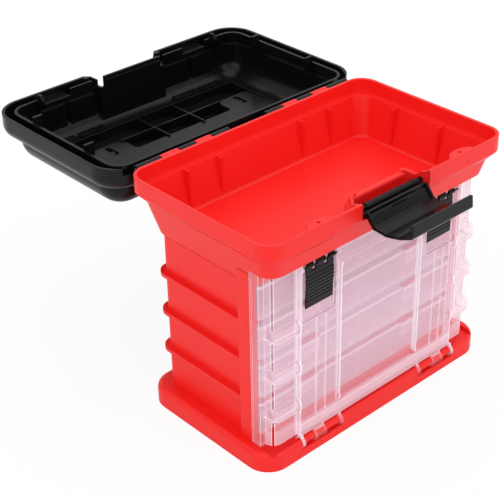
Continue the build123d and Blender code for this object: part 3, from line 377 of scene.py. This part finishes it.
def latchLines():
    # Back line: it leans forward to the pivot at its top, and bows forward by sine squared of the height's
    # share. Front line: a wall's thickness before it, less a straight-sided groove at each step and plus a
    # low lip under it. At the tip both draw together on a quarter circle
    height = np.linspace(doorLatch["top"], doorLatch["bottom"], doorLatch["linePoints"])
    share = (doorLatch["top"] - height) / (doorLatch["top"] - doorLatch["bottom"])
    bow = doorLatch["bow"] * np.sin(math.pi * np.clip(share * doorLatch["bowRate"], 0, 1)) ** 2
    lean = doorLatch["pivot"][0] + doorLatch["topBehind"] - doorLatch["back"]
    back = doorLatch["back"] - bow + lean * np.clip(1 - share * doorLatch["topRate"], 0, 1)
    front = back - doorLatch["wall"]
    for step in range(doorLatch["grooves"]):
        away = height - (doorLatch["firstGroove"] - step * doorLatch["groovePitch"])
        front = front + doorLatch["grooveDepth"] * np.clip(1 - np.abs(away) / doorLatch["grooveHalf"], 0, 1)
        fromLip = np.abs(away + doorLatch["lipBelow"])
        front = front - doorLatch["lip"] * np.clip(1 - fromLip / doorLatch["lipHalf"], 0, 1)
    nearTip = np.clip(1 - (1 - share) * doorLatch["tipRate"], 0, 1)
    tip = np.sqrt(np.clip(1 - nearTip ** 2, doorLatch["tipThin"], 1))
    middle = (front + back) / 2
    front = middle + (front - middle) * tip
    back = middle + (back - middle) * tip
    return np.stack((front, height), axis=1), np.stack((back, height), axis=1)


def pivotArcs(radius):  # the front and the back half of a circle round the pivot, from its top to its bottom
    pivotY, pivotZ = doorLatch["pivot"]
    turn = np.linspace(doorLatch["arcGap"], math.pi - doorLatch["arcGap"], doorLatch["arcPoints"])
    level = pivotZ + radius * np.cos(turn)
    front = np.stack((pivotY - radius * np.sin(turn), level), axis=1)
    back = np.stack((pivotY + radius * np.sin(turn), level), axis=1)
    return front, back


def layDoorLatch(name, side, node, body):
    # A ribbed plate up to the foot of two slots. Above it three barrels round the pivot, each with its own
    # part of the plate. At each side a pin from inside the outer barrel to the wall of the door's pocket
    front, back = latchLines()
    foot = doorLatch["pivot"][1] - doorLatch["slotFoot"]
    plate = front[:, 1] < foot
    upper = front[:, 1] > foot - doorLatch["overlap"]
    centre = side * doorLatch["centre"]
    low = centre - doorLatch["half"]
    high = centre + doorLatch["half"]
    leftSlot = centre - doorLatch["slots"]
    rightSlot = centre + doorLatch["slots"]
    slotHalf = doorLatch["slotHalf"]
    barrelSpans = ((low, leftSlot - slotHalf), (leftSlot + slotHalf, rightSlot - slotHalf),
                   (rightSlot + slotHalf, high))
    leftWall, rightWall = sorted(side * place for place in doorLatch["pocket"])
    pinSpans = ((low + doorLatch["pinInside"], leftWall), (high - doorLatch["pinInside"], rightWall))
    small = doorLatch["smallRound"]
    wall = doorLatch["wall"]
    loops = [roundedStrip((low, high), front[plate], back[plate], doorLatch["round"], wall)]
    for ends in barrelSpans:
        loops.append(roundedStrip(ends, *pivotArcs(doorLatch["barrel"]), small, 2 * doorLatch["barrel"]))
        loops.append(roundedStrip(ends, front[upper], back[upper], small, wall))
    for ends in pinSpans:
        loops.append(roundedStrip(ends, *pivotArcs(doorLatch["pin"]), small, 2 * doorLatch["pin"]))
    piece = addPiece(name, loops, black, body)
    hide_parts(node)


layDoorLatch("doorLatchLeft", -1, "door_latch_left", "door_latch_l")
layDoorLatch("doorLatchRight", 1, "door_latch_right", "door_latch_r")
print("stage: door latches laid")

# Flank: the latch pocket's foot, drafted outwards below its bead as far as the shelf, in millimetres
flank = {"top": 211.0, "bottom": 204.2, "front": -79.75, "frontHalf": 41.0, "rear": -60.4, "rearHalf": 30.4,
         "sideDraft": 0.6, "rearDraft": 0.22, "leanDepth": 3, "sideLean": 0.5, "rearLean": 0.3, "wall": 0.9,
         "corner": 3.5, "rows": 15, "linePoints": 12}


def flankOutline(offset, rearOffset):
    # Half of the plan for each row: a straight side from the front to the rear, a corner rounded by a
    # quadratic curve, and a straight rear to the middle. The offsets move the side outwards and the rear back
    front = np.stack((flank["frontHalf"] + offset, np.full_like(offset, flank["front"])), axis=-1)
    rear = np.stack((flank["rearHalf"] + offset, flank["rear"] + rearOffset), axis=-1)
    middle = rear * (0, 1)
    run = rear - front
    before = rear - run / np.linalg.norm(run, axis=-1, keepdims=True) * flank["corner"]
    after = rear - (flank["corner"], 0)
    share = np.linspace(0, 1, flank["linePoints"])[:, None, None]
    side = front + (before - front) * share
    bend = (1 - share) ** 2 * before + 2 * share * (1 - share) * rear + share ** 2 * after
    last = after + (middle - after) * share
    return np.concatenate((side, bend[1:], last[1:])).swapaxes(0, 1)


def flankSkin(depth, half):  # each row's half plan, then its mirror image, at the row's height
    plan = np.concatenate((half, half[:, ::-1][:, 1:] * (-1, 1)), axis=1)
    level = np.broadcast_to((flank["top"] - depth)[:, None, None], plan.shape[:2] + (1,))
    return np.concatenate((plan, level), axis=2)


def layFlank():
    # Rows down the outer skin, which moves outwards by its draft and by a lean, 1 less the exponential of
    # minus the depth over leanDepth. Then rows up the inner skin, which is straight, a wall inside the top
    # outline. Both ends are closed
    depth = np.linspace(0, 1, flank["rows"]) * (flank["top"] - flank["bottom"])
    lean = 1 - np.exp(-depth / flank["leanDepth"])
    still = np.full_like(depth, -flank["wall"])
    outer = flankOutline(flank["sideDraft"] * depth + flank["sideLean"] * lean,
                         flank["rearDraft"] * depth + flank["rearLean"] * lean)
    inner = flankOutline(still, still)
    loop = np.concatenate((flankSkin(depth, outer), flankSkin(depth, inner)[::-1]))
    rows, columns = loop.shape[:2]
    row, column = np.meshgrid(np.arange(rows), np.arange(columns - 1), indexing="ij")
    after = (row + 1) % rows
    faces = np.stack((row * columns + column, after * columns + column, after * columns + column + 1,
                      row * columns + column + 1), axis=-1).reshape(-1, 4)
    near = np.arange(flank["rows"] - 1)
    far = rows - 1 - near
    first = np.stack((near, far, far - 1, near + 1), axis=-1) * columns
    last = first[:, ::-1] + columns - 1
    skin = (loop.reshape(-1, 3), np.concatenate((faces, first, last)))
    addPiece("latchPocketFlank", [skin], binRed, "case")


layFlank()
print("stage: pocket flank laid")

# Camera at the photograph's place: a long lens looking down from the front left
view = {"place": (-0.6721, -0.6595, 0.7001), "yaw": 42.11, "pitch": 31.39, "roll": -1.14,
        "focalPixels": 1311.75, "imagePixels": 500, "middle": (252.42, 249.52), "sensor": 36, "farEnd": 20}


def aimCamera():
    # Forward comes from yaw and pitch, then right and up are turned by the roll. The lens is the sensor's
    # width times the focal length over the image's width, both in pixels. The shift puts the lens axis at
    # the pixel called middle
    yaw, pitch, roll = (math.radians(view[key]) for key in ("yaw", "pitch", "roll"))
    forward = Vector((math.sin(yaw) * math.cos(pitch), math.cos(yaw) * math.cos(pitch), -math.sin(pitch)))
    level = Vector((math.cos(yaw), -math.sin(yaw), 0))
    upright = level.cross(forward)
    right = math.cos(roll) * level + math.sin(roll) * upright
    up = math.cos(roll) * upright - math.sin(roll) * level
    turned = Matrix((right, up, -forward)).transposed().to_4x4()
    camera = bpy.data.objects.new("camera", bpy.data.cameras.new("camera"))
    bpy.context.scene.collection.objects.link(camera)
    camera.matrix_world = Matrix.Translation(view["place"]) @ turned
    camera.data.sensor_width = view["sensor"]
    camera.data.lens = view["sensor"] * view["focalPixels"] / view["imagePixels"]
    camera.data.shift_x = (view["imagePixels"] / 2 - view["middle"][0]) / view["imagePixels"]
    camera.data.shift_y = (view["middle"][1] - view["imagePixels"] / 2) / view["imagePixels"]
    camera.data.clip_end = view["farEnd"]
    bpy.context.scene.camera = camera


aimCamera()

lamps = {"topLight": {"place": (0.1, 0.1, 1.9), "target": (0, 0.05, 0.1), "size": 2.6, "power": 17},
         "leftLight": {"place": (-1.9, -0.3, 0.9), "target": (0, 0, 0.12), "size": 1.6, "power": 7},
         "frontLight": {"place": (0.5, -2.0, 0.9), "target": (0, 0, 0.12), "size": 1.6, "power": 8}}
sky = {"colour": (1, 1, 1, 1), "onObject": 0.8, "asSeen": 1.0}


def areaLight(name, place, target, size, power):
    lamp = bpy.data.lights.new(name, "AREA")
    lamp.size = size
    lamp.energy = power
    holder = bpy.data.objects.new(name, lamp)
    bpy.context.scene.collection.objects.link(holder)
    holder.location = place
    holder.rotation_euler = (Vector(target) - Vector(place)).to_track_quat("-Z", "Y").to_euler()


def lightScene():  # three soft lamps and a white sky, which is plain white where the camera sees it
    g = Graph(bpy.data.worlds.new("studio"))
    seen = g.maths("MAXIMUM", g.ray("Camera"), g.ray("Transmission"))
    strength = g.node("ShaderNodeMapRange", None,
                      {"Value": seen, "To Min": sky["onObject"], "To Max": sky["asSeen"]})
    back = g.node("ShaderNodeBackground", None, {"Color": sky["colour"], "Strength": strength})
    g.node("ShaderNodeOutputWorld", None, {"Surface": back})
    bpy.context.scene.world = g.owner
    for name, lamp in lamps.items():
        areaLight(name, **lamp)


lightScene()

floorSettings = {"colour": (0.9, 0.9, 0.9, 1), "glow": 0.9, "glowColour": (1, 1, 1, 1), "half": 6.0}


def layFloor():  # a flat square of paper, which to the camera is nearly as white as the sky
    half = floorSettings["half"]
    mesh = bpy.data.meshes.new("floor")
    corners = [(-half, -half, 0), (half, -half, 0), (half, half, 0), (-half, half, 0)]
    mesh.from_pydata(corners, [], [(0, 1, 2, 3)])
    floor = bpy.data.objects.new("floor", mesh)
    bpy.context.scene.collection.objects.link(floor)
    g = Graph(bpy.data.materials.new("floorPaper"))
    paper = g.node("ShaderNodeBsdfDiffuse", None, {"Color": floorSettings["colour"]})
    glow = g.node("ShaderNodeEmission", None, {"Color": floorSettings["glowColour"], "Strength": 1.0})
    share = g.ray("Camera") * floorSettings["glow"]
    both = g.node("ShaderNodeMixShader", None, {0: share, 1: paper, 2: glow})
    g.node("ShaderNodeOutputMaterial", None, {"Surface": both})
    mesh.materials.append(g.owner)


layFloor()
seeThrough = 40  # the trays' walls stand many deep behind the door
bpy.context.scene.view_settings.view_transform = "Standard"
bpy.context.scene.cycles.transparent_max_bounces = seeThrough
print("stage: camera, light and floor")
